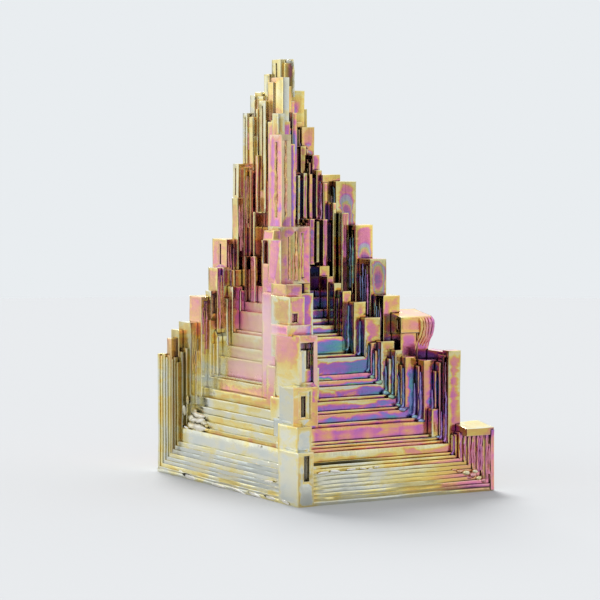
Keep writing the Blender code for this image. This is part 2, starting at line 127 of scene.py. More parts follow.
def loopInside(outline, width):
    # the outline moved inwards by `width`, or None where the face is too narrow for it
    count = len(outline)
    ahead = np.roll(outline, -1, axis=0) - outline
    length = np.linalg.norm(ahead, axis=1)
    if length.min() < 1e-9:
        return None
    ahead = ahead / length[:, None]
    side = np.stack([-ahead[:, 1], ahead[:, 0]], axis=1)
    before = np.roll(side, 1, axis=0)
    bend = 1 + (side * before).sum(axis=1)
    if bend.min() < 0.2:
        return None
    moved = outline + width * (side + before) / bend[:, None]
    kept = ((np.roll(moved, -1, axis=0) - moved) * ahead).sum(axis=1)
    if kept.min() < 1e-8:
        return None
    toPoint = moved[:, None, :] - outline[None, :, :]
    along = np.clip((toPoint * ahead[None]).sum(axis=2), 0, length[None])
    apart = np.linalg.norm(toPoint - along[:, :, None] * ahead[None], axis=2)
    if apart.min() < width * 0.98:
        return None
    return moved


def ringFaces(grown, settings):
    # every flat face gets loops that follow its rim, each a little lower than the one outside it
    points = [tuple(v.co) for v in grown.verts]
    faces, owner, patches = [], [], []
    for number, face in enumerate(grown.faces):
        loop = [v.index for v in face.verts]
        normal = np.array(face.normal)
        across = np.array((1.0, 0, 0)) if abs(normal[0]) < 0.6 else np.array((0, 1.0, 0))
        u = np.cross(across, normal)
        u /= np.linalg.norm(u)
        v = np.cross(normal, u)
        if normal[2] < 0.7:  # u runs level and v upwards on every upright face
            u = np.cross((0, 0, 1.0), normal)
            u /= max(np.linalg.norm(u), 1e-9)
            v = np.cross(normal, u)
        place = np.array([points[i] for i in loop])
        patches.append((u, v, (place @ u).min(), (place @ u).max(), (place @ v).min(), (place @ v).max()))
        if normal[2] < -0.9 and place[0][2] < 0.0001:
            faces.append(loop)
            owner.append(number)
            continue
        outline = np.stack([place @ u, place @ v], axis=1)
        height = float((place @ normal).mean())
        wide = 2.0 * face.calc_area() / max(face.calc_perimeter(), 1e-9) / mm
        for level, (share, most, sink) in enumerate(settings["rings"]):
            width = min(most, share * wide)
            if level > 0 and wide < settings["ringFrom"][level]:
                break
            inside = None
            for narrower in (1.0, 0.6, 0.35):
                inside = loopInside(outline, width * narrower * mm)
                if inside is not None:
                    break
            if inside is None:
                break
            height -= sink * min(1.0, wide) * mm
            start = len(points)
            points.extend(tuple(u * p[0] + v * p[1] + normal * height) for p in inside)
            ring = list(range(start, start + len(loop)))
            for i in range(len(loop)):
                j = (i + 1) % len(loop)
                faces.append([loop[i], loop[j], ring[j], ring[i]])
                owner.append(number)
            loop, outline = ring, inside
        faces.append(loop)
        owner.append(number)
    return points, faces, owner, patches


def sliced(points, faces, owner, step):
    # cut along evenly spaced planes, so that no face is longer than the step
    data = bpy.data.meshes.new("rings")
    data.from_pydata(points, [], faces)
    grown = bmesh.new()
    grown.from_mesh(data)
    bpy.data.meshes.remove(data)
    layer = grown.faces.layers.int.new("owner")
    for face, number in zip(grown.faces, owner):
        face[layer] = number
    low, high = cadBox
    for axis in range(3):
        count = int((high[axis] - low[axis]) / step)
        normal = Vector([1.0 if i == axis else 0.0 for i in range(3)])
        for i in range(1, count + 1):
            at = normal * (low[axis] + (i - 0.37) * step)
            crossed = [f for f in grown.faces if spans(f, axis, at[axis])]
            parts = set(crossed)
            for f in crossed:
                parts.update(f.edges)
                parts.update(f.verts)
            bmesh.ops.bisect_plane(grown, geom=list(parts), dist=0.000002, plane_co=at, plane_no=normal)
    bmesh.ops.triangulate(grown, faces=grown.faces, quad_method="SHORT_EDGE", ngon_method="BEAUTY")
    grown.verts.index_update()
    points = [tuple(v.co) for v in grown.verts]
    faces = [[v.index for v in f.verts] for f in grown.faces]
    owner = np.array([f[layer] for f in grown.faces])
    grown.free()
    return points, faces, owner


def spans(face, axis, at):
    low = high = face.verts[0].co[axis]
    for v in face.verts:
        c = v.co[axis]
        if c < low:
            low = c
        elif c > high:
            high = c
    return low < at < high


# How thick the oxide film grew: 0 bare silver, 0.12 pale gold, 0.3 pink, 0.45 purple, 0.6 blue-green
growth = {
    # at the foot, then each rise as amount, from height, to height (mm); the left hollow goes from silver
    # to pink, the right one from orange to purple and blue
    "leftHollow": (0.022, (0.09, 5.5, 9), (0.12, 11.5, 15.5)),
    "frontHollow": (0.03, (0.11, 2.5, 5), (0.12, 4.8, 6.8), (0.195, 8.5, 12)),
    "towerFront": (0.28, (-0.14, 48, 54)),
    "towerSide": (0.4, (0.1, 24, 34), (-0.2, 40, 50)),
    "leftTower": (0.03, (0.12, 16, 22), (0.07, 22, 30), (-0.09, 40, 50)),
    "ridgeLeft": (0, (0.09, 8, 14), (0.135, 17, 22), (0.04, 24, 27), (0.03, 39, 41)),
    "ridgeFront": (0.01, (0.05, 8, 14), (0.18, 21.5, 24), (0.06, 29, 31), (-0.05, 39, 41)),
    "behind": (0.04, (0.12, 3, 8), (0.2, 9, 20), (-0.18, 36, 54)),
    # the same at every height
    "outerPost": 0.27,
    "upperBlock": 0.19,
    "lintel": 0.34,
    "plates": 0.2,
    "column": 0.105,
    "top": 0.1,
    "goldLine": 0.118,
}


def smooth(value, low, high):
    t = np.clip((value - low) / (high - low), 0.0, 1.0)
    return t * t * (3 - 2 * t)


def fade(value, low, high):
    return 1 - smooth(value, low, high)


def toward(value, share, aim):
    return value + share * (aim - value)


def climb(z, start, *rises):
    # the start, and a smooth rise by an amount between each pair of heights
    for amount, low, high in rises:
        start = start + amount * smooth(z, low, high)
    return start


def filmZones(p, n, grown):
    x, y, z = p.T
    faceX, faceY, faceZ = n.T
    left, front, upper = [smooth(facing, 0.5, 0.9) for facing in (-faceX, -faceY, faceZ)]

    leftHollow = climb(z, *grown["leftHollow"])
    frontHollow = climb(z, *grown["frontHollow"])
    frontHollow = frontHollow + 0.18 * smooth(x, 17, 31) * fade(z, 3, 8)
    frontHollow = frontHollow + 0.03 * smooth(z, 15, 18) * fade(z, 20, 24)
    frontHollow = frontHollow - 0.1 * smooth(z, 6.8, 8.2) * fade(z, 11, 14) * np.sin(x * 0.9 + 0.6) ** 2
    frontHollow = frontHollow + 0.16 * (smooth(y, 6.5, 12) * smooth(x, 11, 20) * fade(z, 22, 34))
    side = smooth(x - y * 0.48, -0.6, 0.6)  # the line from the near corner to the summit parts them
    film = toward(leftHollow, side, frontHollow)

    # right-hand posts and towers
    inTower = smooth(x, 14, 15.6) * smooth(x * 1.15 + z * 0.75, 36, 40) * smooth(z, 16, 20)
    towerFilm = climb(z, *grown["towerFront"]) * front + (1 - front) * climb(z, *grown["towerSide"])
    film = toward(film, inTower, towerFilm)
    outerPost = side * smooth(x, 26, 29) * smooth(z, 9, 12) * front
    film = toward(film, outerPost, grown["outerPost"])
    block = side * smooth(x, 22, 22.8) * smooth(z, 22.2, 23) * fade(y, 14, 15)
    film = toward(film, block, grown["upperBlock"])
    lintel = side * smooth(x, 27.6, 28.2) * smooth(z, 7.9, 8.2) * fade(z, 11, 12) * fade(y, 6, 7)
    film = toward(film, lintel, grown["lintel"])
    # left-hand posts and towers
    leftTower = smooth(y, 31, 33.5) * smooth(15.9 - x, 0, 1) * smooth(y - x * 0.7, 22, 24)
    towerFilm = climb(z, *grown["leftTower"]) + 0.1 * front * smooth(z, 20, 30) * fade(z, 34, 42)
    film = toward(film, leftTower, towerFilm)
    # stacked boxes of the near corner
    ridge = smooth(0.95 + 0.38 * y + 2.6 - x, 0, 0.4) * smooth(x * 2.1 + 5.2 - y, 0, 0.8)
    ridgeFilm = toward(climb(z, *grown["ridgeLeft"]), front, climb(z, *grown["ridgeFront"]))
    film = toward(film, ridge, ridgeFilm)

    film = toward(film, smooth(z, 51, 57) * (1 - inTower * front), grown["top"])
    behind = np.maximum(smooth(faceX, 0.5, 0.9), smooth(faceY, 0.5, 0.9))
    film = toward(film, behind, climb(z, *grown["behind"]) + 0.07 * np.sin(x * 0.31 + y * 0.23))
    column = np.maximum(left, front) * smooth(y, 36.8, 37.4) * smooth(x, 0.5, 1.2) * fade(z, 19, 25)
    film = toward(film, column, grown["column"])
    blockTop = side * smooth(x, 22.8, 23.2) * smooth(z, 24.3, 24.7) * fade(z, 26, 27)
    plates = upper * np.maximum(lintel, blockTop)
    film = np.maximum(toward(film, upper, 0.5 * film + 0.03), 0.0)
    film = toward(film, plates, grown["plates"])
    rim = np.minimum(0.18, 0.06 + 0.3 * film)
    rim = rim + ridge * front * (0.15 - rim) * fade(z, 24, 28)
    rim = toward(rim, np.maximum(lintel, plates), 0.85 * film)
    rim = toward(rim, inTower * front, 0.15) + 0.045 * (1 - side) * left * smooth(z, 14, 18)
    # two gold lines along the ledges of the left face
    gold = left * smooth(y, 8, 9) * fade(y, 29.5, 31.5) * fade(np.abs(x - 2.2), 0.03, 0.1) * (z < 7.9)
    gold = np.maximum(gold, left * fade(np.abs(x - 4.3), 0.03, 0.1) * fade(z, 12.4, 12.6) * (y < 36))
    film = toward(film, gold, grown["goldLine"])
    rim = toward(rim, gold, grown["goldLine"])
    rim = rim + 0.09 * side * smooth(x, 19, 30) * fade(z, 4, 8) * (1 - behind)

    # painted shade on faces that only look into the dark, such as the inner sides of the right-hand posts;
    # the same mask also darkens the left column, the gold lines, the summit and some other strips
    slanted = fade(np.abs(n).max(axis=1), 0.93, 0.99)
    shadeAndTone = np.maximum.reduce([
        inTower * (1 - front) * (1 - upper) * smooth(z, 18, 22) * fade(z, 56, 60),
        side * left * smooth(x, 13, 17) * smooth(z, 6, 10) * fade(z, 56, 60) * 0.9,
        0.45 * leftTower * front * smooth(z, 20, 26) * fade(z, 44, 51),
        1.05 * column * (0.3 + 0.7 * np.sin(y * 4.1 + x * 2.3) ** 2),
        0.42 * ridge * front * smooth(z, 29, 31),
        0.18 * side * front * (1 - ridge) * smooth(z, 6, 8) * fade(z, 20, 22),
        0.2 * np.maximum(np.maximum(outerPost, lintel), plates),
        0.4 * gold,
        1.45 * front * smooth(y, 2.3, 2.5) * fade(y, 2.65, 2.8) * fade(x, 10, 19),
        1.15 * (front * smooth(z, 57, 59) * smooth(x, 14.35, 14.75) * fade(x, 15.5, 15.8)),
        0.7 * slanted * leftTower])
    # painted light: windows and hollows that still catch the light, where the painted shade is lifted and the
    # colour paled
    shallow = np.maximum.reduce([
        (0.75 + 0.2 * smooth(z, 28, 31)) * ridge * front,
        0.9 * plates,
        0.8 * leftTower * smooth(z, 36, 46),
        (1 - side) * left * (0.7 * smooth(z, 12, 16) + 0.25 * smooth(z, 18, 20))])
    # painted light: the deep ledges of the left hollow made paler
    paintedLightLedges = (1 - side) * left * smooth(z, 13.5, 18) * fade(z, 27, 30) * (1 - leftTower) * (1 - ridge)
    ringed = inTower * front * smooth(z, 20, 22) * smooth(25 - x, 0, 1) * fade(z, 55, 58)
    # rougher and paler towards the crust colour; on the skin the paling is painted light
    mattAndPaintedLight = 0.12 * shallow + 0.42 * paintedLightLedges
    return {"filmZone": film, "rimZone": rim, "shadeAndTone": shadeAndTone, "shallow": shallow, "ringed": ringed,
            "mattAndPaintedLight": mattAndPaintedLight}


def patchCoordinates(places, owner, patches):
    # on each flat face: mm from its middle line, mm below its top, its narrower size, a number of its own
    table = np.array([list(p[0]) + list(p[1]) + list(p[2:]) for p in patches])[owner]
    along = (places * table[:, 0:3]).sum(axis=1)
    up = (places * table[:, 3:6]).sum(axis=1)
    width = np.maximum(table[:, 7] - table[:, 6], 1e-6)
    height = np.maximum(table[:, 9] - table[:, 8], 1e-6)
    middle = table[:, 6] * 917.0 + table[:, 8] * 1531.0 + table[:, 9] * 613.0
    mood = np.mod(np.abs(np.sin(middle * 7.7) * 43.1), 1.0)
    aside = (along - (table[:, 6] + table[:, 7]) / 2) / mm
    return aside, (table[:, 9] - up) / mm, np.minimum(width, height) / mm, mood


def treeOf(data):
    return BVHTree.FromPolygons([v.co for v in data.vertices], [tuple(p.vertices) for p in data.polygons])


def occlusion(data, tree, rays, reach, start=0.00006):
    # how much of the open sky each point misses, 0 to 1
    directions = []
    for i in range(rays * 2):
        w = 1 - (2 * i + 1) / (rays * 2)
        turn = i * 2.39996
        r = math.sqrt(max(0.0, 1 - w * w))
        directions.append(Vector((r * math.cos(turn), r * math.sin(turn), w)))
    shade = np.zeros(len(data.vertices))
    for i, vertex in enumerate(data.vertices):
        normal = vertex.normal
        begin = vertex.co + normal * start
        total, hidden = 0.0, 0.0
        for direction in directions:
            facing = direction.dot(normal)
            if facing < 0.12:
                continue
            total += facing
            hit = tree.ray_cast(begin, direction, reach)
            if hit[0] is not None:
                hidden += facing * (1 - 0.5 * hit[3] / reach)
        shade[i] = hidden / max(total, 0.001)
    return shade


def addAttributes(data, rows, domain="POINT"):
    for name, values in rows.items():
        if name not in data.attributes:
            data.attributes.new(name, "FLOAT", domain)
        data.attributes[name].data.foreach_set("value", np.asarray(values, dtype=np.float32))


def buildSkin(settings):
    grown = copyOfNode(settings["node"])
    outerEdges, innerEdges = findEdges(grown)
    grown.verts.index_update()
    points, faces, owner, patches = ringFaces(grown, settings)
    grown.free()
    print("crystal: ringed to", len(points), "points")
    points, faces, owner = sliced(points, faces, owner, settings["meshStep"] * mm)
    print("crystal: refined to", len(points), "points and", len(faces), "faces")

    outer = distanceTo(outerEdges, points) / mm
    inner = distanceTo(innerEdges, points) / mm
    flat = np.array(points)
    tri = np.array(faces)
    cross = np.cross(flat[tri[:, 1]] - flat[tri[:, 0]], flat[tri[:, 2]] - flat[tri[:, 0]])
    normals = cross / np.maximum(np.linalg.norm(cross, axis=1), 1e-20)[:, None]
    layout = flat / mm - np.array(settings["layoutShift"])
    cornerPlace = layout[tri].reshape(-1, 3)
    corner = filmZones(cornerPlace, np.repeat(normals, 3, axis=0), growth)
    aside, below, size, mood = patchCoordinates(flat[tri].reshape(-1, 3), np.repeat(owner, 3), patches)
    fromX, fromZ, toZ, lift = settings["liftedRings"]
    lifted = (cornerPlace[:, 0] > fromX) & (cornerPlace[:, 2] > fromZ) & (cornerPlace[:, 2] < toZ)
    corner.update({"aside": aside, "below": below + lift * lifted, "faceSize": size, "mood": mood})

    narrow = np.full(len(points), 99.0)
    np.minimum.at(narrow, tri.reshape(-1), size)
    strayed = []
    for p, width in zip(points, narrow.tolist()):
        v = Vector(p)
        amount = settings["wander"] * min(1.0, 0.25 + width / 4.0) * mm
        strayed.append(v + noise.noise_vector(v / (settings["wanderSize"] * mm)) * amount)
    co = np.array(strayed)
    # worn edges and sunken creases: their points move a little way in
    pairs = np.unique(np.stack([tri.reshape(-1), np.repeat(owner, 3)], axis=1), axis=0)
    patchNormal = np.array([np.cross(p[0], p[1]) for p in patches])
    pointNormal = np.zeros_like(flat)
    np.add.at(pointNormal, pairs[:, 0], patchNormal[pairs[:, 1]])
    pointNormal /= np.maximum(np.linalg.norm(pointNormal, axis=1), 1e-9)[:, None]
    moved = (outer < 0.02) * settings["edgeWear"] + (inner < 0.02) * settings["creaseSink"]
    moved *= np.clip(narrow / 0.6, 0.36, 1.0)
    co -= pointNormal * moved[:, None] * mm
    co = np.clip(co, *cadBox)
    co[flat[:, 2] < 0.00001, 2] = 0.0

    data = bpy.data.meshes.new("crystal_skin")
    data.from_pydata(co.tolist(), [], faces)
    data.update()
    addAttributes(data, corner, "CORNER")
    addAttributes(data, {"outerGap": outer, "innerGap": inner})
    # the occlusion drives the painted shade and the painted reflection of the hollows
    shade = occlusion(data, treeOf(data), settings["shadeRays"], settings["shadeReach"] * mm)
    addAttributes(data, {"hollow": shade})
    data.shade_smooth()
    data.set_sharp_from_angle(angle=math.radians(settings["sharpAngle"]))
    skin = addObject("crystal_skin", data)
    print("crystal: hollows felt, mean", round(float(shade.mean()), 3))
    return skin


# Short ways to add a node
def newNode(tree, kind, inputs=(), **options):
    # a node with its options set, and each named input set to a value or wired to another node
    node = tree.nodes.new(kind)
    for name, value in options.items():
        setattr(node, name, value)
    for name, value in inputs:
        if isinstance(value, bpy.types.NodeSocket):
            tree.links.new(value, node.inputs[name])
        elif value is not None:
            node.inputs[name].default_value = value
    return node


def mathNode(tree, operation, *values, clamp=False):
    return newNode(tree, "ShaderNodeMath", enumerate(values), operation=operation, use_clamp=clamp).outputs[0]


def rangeNode(tree, value, fromLow, fromHigh, toLow, toHigh, kind="SMOOTHSTEP"):
    inputs = {"Value": value, "From Min": fromLow, "From Max": fromHigh, "To Min": toLow, "To Max": toHigh}
    return newNode(tree, "ShaderNodeMapRange", inputs.items(), interpolation_type=kind).outputs["Result"]


def noiseNode(tree, vector, size, detail=2.0, roughness=0.5, distortion=0.0, stretch=None, own=None):
    # `size` is in millimetres; `own` gives every face a pattern of its own
    if stretch is not None:
        vector = newNode(tree, "ShaderNodeMapping", (("Vector", vector), ("Scale", stretch))).outputs[0]
    inputs = (("Vector", vector), ("W", own), ("Scale", 1000.0 / size), ("Detail", detail),
              ("Roughness", roughness), ("Distortion", distortion))
    kind = "3D" if own is None else "4D"
    return newNode(tree, "ShaderNodeTexNoise", inputs, noise_dimensions=kind).outputs["Fac"]


def mixNode(tree, factor, *colours, blend="MIX"):
    colours = [c + (1.0,) if isinstance(c, tuple) else c for c in colours]
    inputs = (("Factor", factor), (6, colours[0]), (7, colours[1]))
    return newNode(tree, "ShaderNodeMix", inputs, data_type="RGBA", blend_type=blend).outputs[2]


def namedValue(group, name):
    node = newNode(group, "GeometryNodeInputNamedAttribute", (("Name", name),), data_type="FLOAT")
    return node.outputs["Attribute"]


def slowNoise(group, position, size, seed):
    # a random value that changes smoothly over `size`
    finer = mathNode(group, "DIVIDE", 1.0, size)
    inputs = (("Detail", 1.0), ("Scale", finer), ("Vector", position), ("W", seed))
    return newNode(group, "ShaderNodeTexNoise", inputs, noise_dimensions="4D").outputs


def noiseOffset(group, position, size, amount, seed):
    inputs = ((0, slowNoise(group, position, size, seed)["Color"]), (1, (0.5, 0.5, 0.5)))
    middle = newNode(group, "ShaderNodeVectorMath", inputs, operation="SUBTRACT").outputs[0]
    inputs = ((0, middle), ("Scale", amount))
    return newNode(group, "ShaderNodeVectorMath", inputs, operation="SCALE").outputs[0]


def newGroup(name, inputs):
    # an empty group that takes guide points and the listed inputs
    group = bpy.data.node_groups.new(name, "GeometryNodeTree")
    names = {}
    for title, kind in (("Geometry", "Geometry"),) + inputs:
        socket = group.interface.new_socket(title, in_out="INPUT", socket_type="NodeSocket" + kind)
        names[title] = socket.identifier
    return group, group.nodes.new("NodeGroupInput").outputs, names


def finishGroup(group, geometry, material):
    # every group ends the same way: real geometry in its own material
    group.interface.new_socket("Geometry", in_out="OUTPUT", socket_type="NodeSocketGeometry")
    real = newNode(group, "GeometryNodeRealizeInstances", ((0, geometry),)).outputs[0]
    finish = newNode(group, "GeometryNodeSetMaterial", (("Geometry", real), ("Material", material)))
    newNode(group, "NodeGroupOutput", ((0, finish.outputs[0]),))


# Threads of metal that ran down and set
threads = {
    "spacing": 0.3,  # mm between the points of a thread
    "sides": 8,
    "wobble": 0.34,  # mm
    "wobbleSize": 1.3,  # mm
    "lumps": 0.75,  # share of the radius
    "lumpSize": 1.1,
    "tip": 0.55,  # share of the radius at the upper end
    "mattAndPaintedLight": 0.08,
    "seed": 7,
    # right hollow, at the inner corner of each frame: x, y, bar z, length, radius
    "hopperDrips": (
        (27.95, 2.55, 5.4, 2.8, 0.15), (27.3, 3.6, 7.1, 7.5, 0.22), (26.95, 4.2, 7.5, 4.2, 0.2),
        (26.15, 5.5, 8.3, 6.5, 0.26), (24.7, 6.4, 10.2, 7.2, 0.3), (24.25, 7.3, 10.7, 5.0, 0.26),
        (22.6, 7.9, 11.9, 6.0, 0.24), (22.2, 8.5, 12.3, 4.5, 0.22), (21.6, 9.2, 13.6, 6.2, 0.26),
        (20.9, 9.9, 14.05, 4.2, 0.24), (20.0, 10.5, 15.6, 5.2, 0.22), (19.4, 11.05, 16.4, 3.6, 0.2),
        (18.95, 11.6, 17.2, 4.0, 0.2), (18.2, 12.9, 19.6, 5.2, 0.26), (17.1, 14.4, 20.0, 7.0, 0.3)),
    # inner sides of the right-hand towers: x, y from, y to, top z
    "towerRibs": (
        (27.45, 3.8, 5.2, 20.0), (23.3, 10.0, 11.6, 24.5), (21.5, 12.2, 14.4, 28.1),
        (21.0, 15.0, 17.6, 33.4), (20.5, 18.3, 21.3, 38.4), (19.3, 22.0, 22.5, 44.9),
        (17.55, 22.9, 24.2, 45.9), (16.8, 24.7, 26.1, 48.9), (16.05, 26.6, 28.2, 53.1)),
    # sides of the left-hand towers that look to the front: x from, x to, y, top z
    "leftRibs": (
        (2.8, 3.7, 37.2, 23.2), (4.1, 5.0, 36.1, 27.2), (6.3, 6.9, 34.9, 31.6), (7.6, 8.8, 34.35, 36.0),
        (9.1, 9.8, 33.45, 42.3), (10.1, 10.8, 33.3, 47.0), (11.1, 11.9, 34.1, 55.3),
        (12.6, 13.6, 30.5, 61.2)),
    # right end of the foot: x, y, z from, z to
    "blockRibs": (
        (33.05, 0.24, 1.1, 8.9), (32.42, 0.4, 1.7, 9.0), (31.8, 0.58, 2.2, 8.8), (31.18, 0.78, 2.8, 9.0),
        (30.5, 0.98, 3.3, 8.7), (29.85, 1.18, 3.9, 8.8), (29.25, 1.4, 4.4, 8.4), (28.65, 1.64, 4.9, 8.5),
        (32.75, 0.3, 2.4, 7.0), (31.5, 0.62, 3.0, 8.9), (30.2, 1.02, 4.1, 7.6)),
    # shallow ribs in the tall boxes of the near corner: x, y, z from, z to, radius
    "boxRibs": (
        (6.78, 14.02, 31.2, 37.4, 0.21), (7.92, 14.02, 31.0, 38.2, 0.26), (9.02, 14.02, 31.4, 37.9, 0.16),
        (9.65, 20.02, 40.2, 51.4, 0.19), (8.92, 21.65, 40.0, 51.2, 0.25), (8.55, 14.0, 30.9, 36.0, 0.12),
        (7.35, 14.0, 30.9, 35.2, 0.12)),
}

nodules = {
    "finer": 3,  # subdivisions of each lump
    "rough": 1.7,  # share of the thinnest size
    "tilt": 0.12,  # radians, how far a lump may lean
    "grain": 1.15,  # mm
    "seed": 11,
    # x, y, z, half depth, half length, half height, film, painted shade and tone, crust
    "lumps": (
        (2.05, 33.2, 7.74, 0.42, 2.1, 0.56, 0.08, 0.0, 0.8),
        (2.1, 36.0, 7.8, 0.34, 1.3, 0.46, 0.1, 0.1, 0.6), (2.6, 34.9, 8.72, 0.44, 2.2, 0.5, 0.06, 0.0, 0.8),
        (2.95, 35.3, 9.52, 0.38, 2.0, 0.42, 0.07, 0.0, 0.75),
        (2.58, 32.9, 8.5, 0.34, 1.1, 0.36, 0.1, 0.2, 0.6), (2.6, 36.8, 8.8, 0.36, 0.9, 0.6, 0.1, 0.2, 0.5),
        (3.1, 37.0, 9.9, 0.32, 1.1, 0.4, 0.1, 0.2, 0.55),
        (1.82, 37.2, 7.42, 0.16, 0.7, 0.16, 0.02, 0.0, 0.9),
        (2.12, 31.2, 7.62, 0.22, 0.8, 0.26, 0.14, 0.0, 0.1),
        (2.52, 31.9, 8.1, 0.22, 0.5, 0.3, 0.13, 0.3, 0.2),
        (2.2, 37.4, 11.6, 0.22, 0.4, 0.7, 0.13, 0.5, 0.25), (1.9, 37.9, 10.0, 0.22, 0.5, 0.8, 0.1, 0.5, 0.3),
        (28.0, 0.95, 3.15, 0.62, 0.34, 0.3, 0.2, 0.2, 0.15),
        (29.0, 0.78, 2.8, 0.66, 0.36, 0.42, 0.1, 0.1, 0.35),
        (30.1, 0.62, 2.45, 0.62, 0.36, 0.46, 0.24, 0.3, 0.2),
        (31.0, 0.5, 1.95, 0.56, 0.3, 0.4, 0.12, 0.2, 0.3), (29.4, 0.66, 2.1, 0.6, 0.3, 0.26, 0.26, 0.5, 0.1),
        (30.4, 0.52, 3.0, 0.46, 0.3, 0.3, 0.1, 0.1, 0.4), (27.1, 1.05, 3.4, 0.5, 0.22, 0.2, 0.22, 0.2, 0.2),
        (31.8, 0.36, 1.5, 0.4, 0.24, 0.34, 0.24, 0.4, 0.15),
        (15.2, 28.2, 62.9, 0.42, 0.42, 0.62, 0.04, 1.0, 0.25),
        (15.6, 28.6, 61.9, 0.36, 0.4, 0.7, 0.05, 1.1, 0.2),
        (14.7, 28.1, 63.2, 0.4, 0.3, 0.46, 0.03, 0.6, 0.35),
        (15.7, 29.4, 62.8, 0.4, 0.5, 0.6, 0.05, 0.9, 0.2), (15.5, 28.3, 60.4, 0.3, 0.3, 0.6, 0.08, 0.9, 0.1),
        (15.9, 29.0, 61.2, 0.22, 0.22, 0.22, 0.04, 1.2, 0.1)),
    # small pools at the ends of the threads in the right hollow; poolLook is their painted shade and tone,
    # and crust
    "poolLook": (0.1, 0.15),
    "pools": (
        (26.6, 4.3, 7.95, 0.62, 0.3, 0.24, 0.5), (26.0, 4.9, 8.35, 0.5, 0.28, 0.26, 0.54),
        (24.55, 5.8, 10.3, 0.7, 0.34, 0.34, 0.52), (23.9, 6.6, 10.8, 0.6, 0.34, 0.3, 0.56),
        (22.3, 7.5, 12.0, 0.8, 0.36, 0.4, 0.5), (21.9, 8.1, 12.45, 0.6, 0.34, 0.34, 0.58),
        (21.2, 8.7, 13.75, 0.7, 0.36, 0.36, 0.6), (20.6, 9.4, 14.25, 0.6, 0.34, 0.4, 0.54),
        (19.7, 10.1, 15.8, 0.6, 0.34, 0.36, 0.62), (19.0, 10.7, 16.6, 0.5, 0.3, 0.36, 0.6)),
    # thin pale chips; chipLook is their film, painted shade and tone, and crust
    "chipLook": (0.02, 0.0, 0.95),
    "chips": (
        (0.1, 32.2, 0.34, 0.1, 2.9, 0.3), (0.07, 23.4, 0.24, 0.08, 2.3, 0.17),
        (0.07, 17.6, 0.22, 0.08, 2.6, 0.16), (0.06, 12.2, 0.24, 0.07, 2.4, 0.18),
        (0.05, 7.9, 0.42, 0.06, 1.8, 0.2), (0.05, 3.8, 0.36, 0.06, 1.6, 0.22),
        (1.68, 13.9, 7.1, 0.08, 0.6, 0.2), (0.46, 9.2, 2.6, 0.07, 1.5, 0.12),
        (0.36, 36.5, 0.95, 0.1, 1.2, 0.12), (4.9, 1.33, 4.42, 0.95, 0.14, 0.22),
        (6.9, 1.33, 4.52, 0.8, 0.14, 0.24), (9.6, 1.34, 4.6, 0.75, 0.13, 0.14),
        (11.6, 1.34, 4.64, 0.55, 0.12, 0.12), (13.9, 1.34, 4.68, 0.55, 0.12, 0.12),
        (12.8, 1.34, 4.5, 0.4, 0.12, 0.1)),
}


def threadGroup():
    group, take, names = newGroup("running_threads", (
        ("Spacing", "Float"), ("Sides", "Int"), ("Wobble", "Float"), ("Wobble Size", "Float"),
        ("Lumps", "Float"), ("Lump Size", "Float"), ("Seed", "Float"), ("Material", "Material")))
    add = partial(newNode, group)
    place = add("GeometryNodeInputPosition").outputs[0]
    curve = add("GeometryNodeMeshToCurve", (("Mesh", take["Geometry"]),)).outputs[0]
    inputs = (("Curve", curve), ("Length", take["Spacing"]))
    even = add("GeometryNodeResampleCurve", inputs, mode="LENGTH").outputs[0]
    push = noiseOffset(group, place, take["Wobble Size"], take["Wobble"], take["Seed"])
    shift = add("GeometryNodeSetPosition", (("Geometry", even), ("Offset", push)))
    swell = slowNoise(group, place, take["Lump Size"], take["Seed"])["Fac"]
    swell = mathNode(group, "MULTIPLY", mathNode(group, "SUBTRACT", swell, 0.5), take["Lumps"])
    swell = mathNode(group, "ADD", mathNode(group, "MULTIPLY", swell, 2.0), 1.0)
    radius = mathNode(group, "MULTIPLY", swell, namedValue(group, "thickness"))
    inputs = (("Radius", 1.0), ("Resolution", take["Sides"]))
    circle = add("GeometryNodeCurvePrimitiveCircle", inputs).outputs["Curve"]
    tube = add("GeometryNodeCurveToMesh", (
        ("Curve", shift.outputs[0]), ("Profile Curve", circle), ("Scale", radius), ("Fill Caps", True)))
    finishGroup(group, tube.outputs[0], take["Material"])
    return group, names


def noduleGroup(tilt):
    group, take, names = newGroup("splashed_nodules", (
        ("Finer", "Int"), ("Rough", "Float"), ("Grain", "Float"), ("Seed", "Float"), ("Turn Seed", "Int"),
        ("Material", "Material")))
    add = partial(newNode, group)
    ball = add("GeometryNodeMeshIcoSphere", (("Radius", 1.0), ("Subdivisions", take["Finer"])))
    sizes = enumerate([namedValue(group, key) for key in ("deep", "long", "tall")])
    size = add("ShaderNodeCombineXYZ", sizes)
    turn = add("FunctionNodeRandomValue", (
        ("Min", (-tilt,) * 3), ("Max", (tilt,) * 3), ("Seed", take["Turn Seed"])), data_type="FLOAT_VECTOR")
    spread = add("GeometryNodeInstanceOnPoints", (
        ("Points", take["Geometry"]), ("Instance", ball.outputs[0]), ("Scale", size.outputs[0]),
        ("Rotation", turn.outputs["Value"])))
    real = add("GeometryNodeRealizeInstances", ((0, spread.outputs[0]),))
    place = add("GeometryNodeInputPosition").outputs[0]
    amount = mathNode(group, "MULTIPLY", take["Rough"], namedValue(group, "thin"))
    push = noiseOffset(group, place, take["Grain"], amount, take["Seed"])
    shift = add("GeometryNodeSetPosition", (("Geometry", real.outputs[0]), ("Offset", push)))
    finishGroup(group, shift.outputs[0], take["Material"])
    return group, names


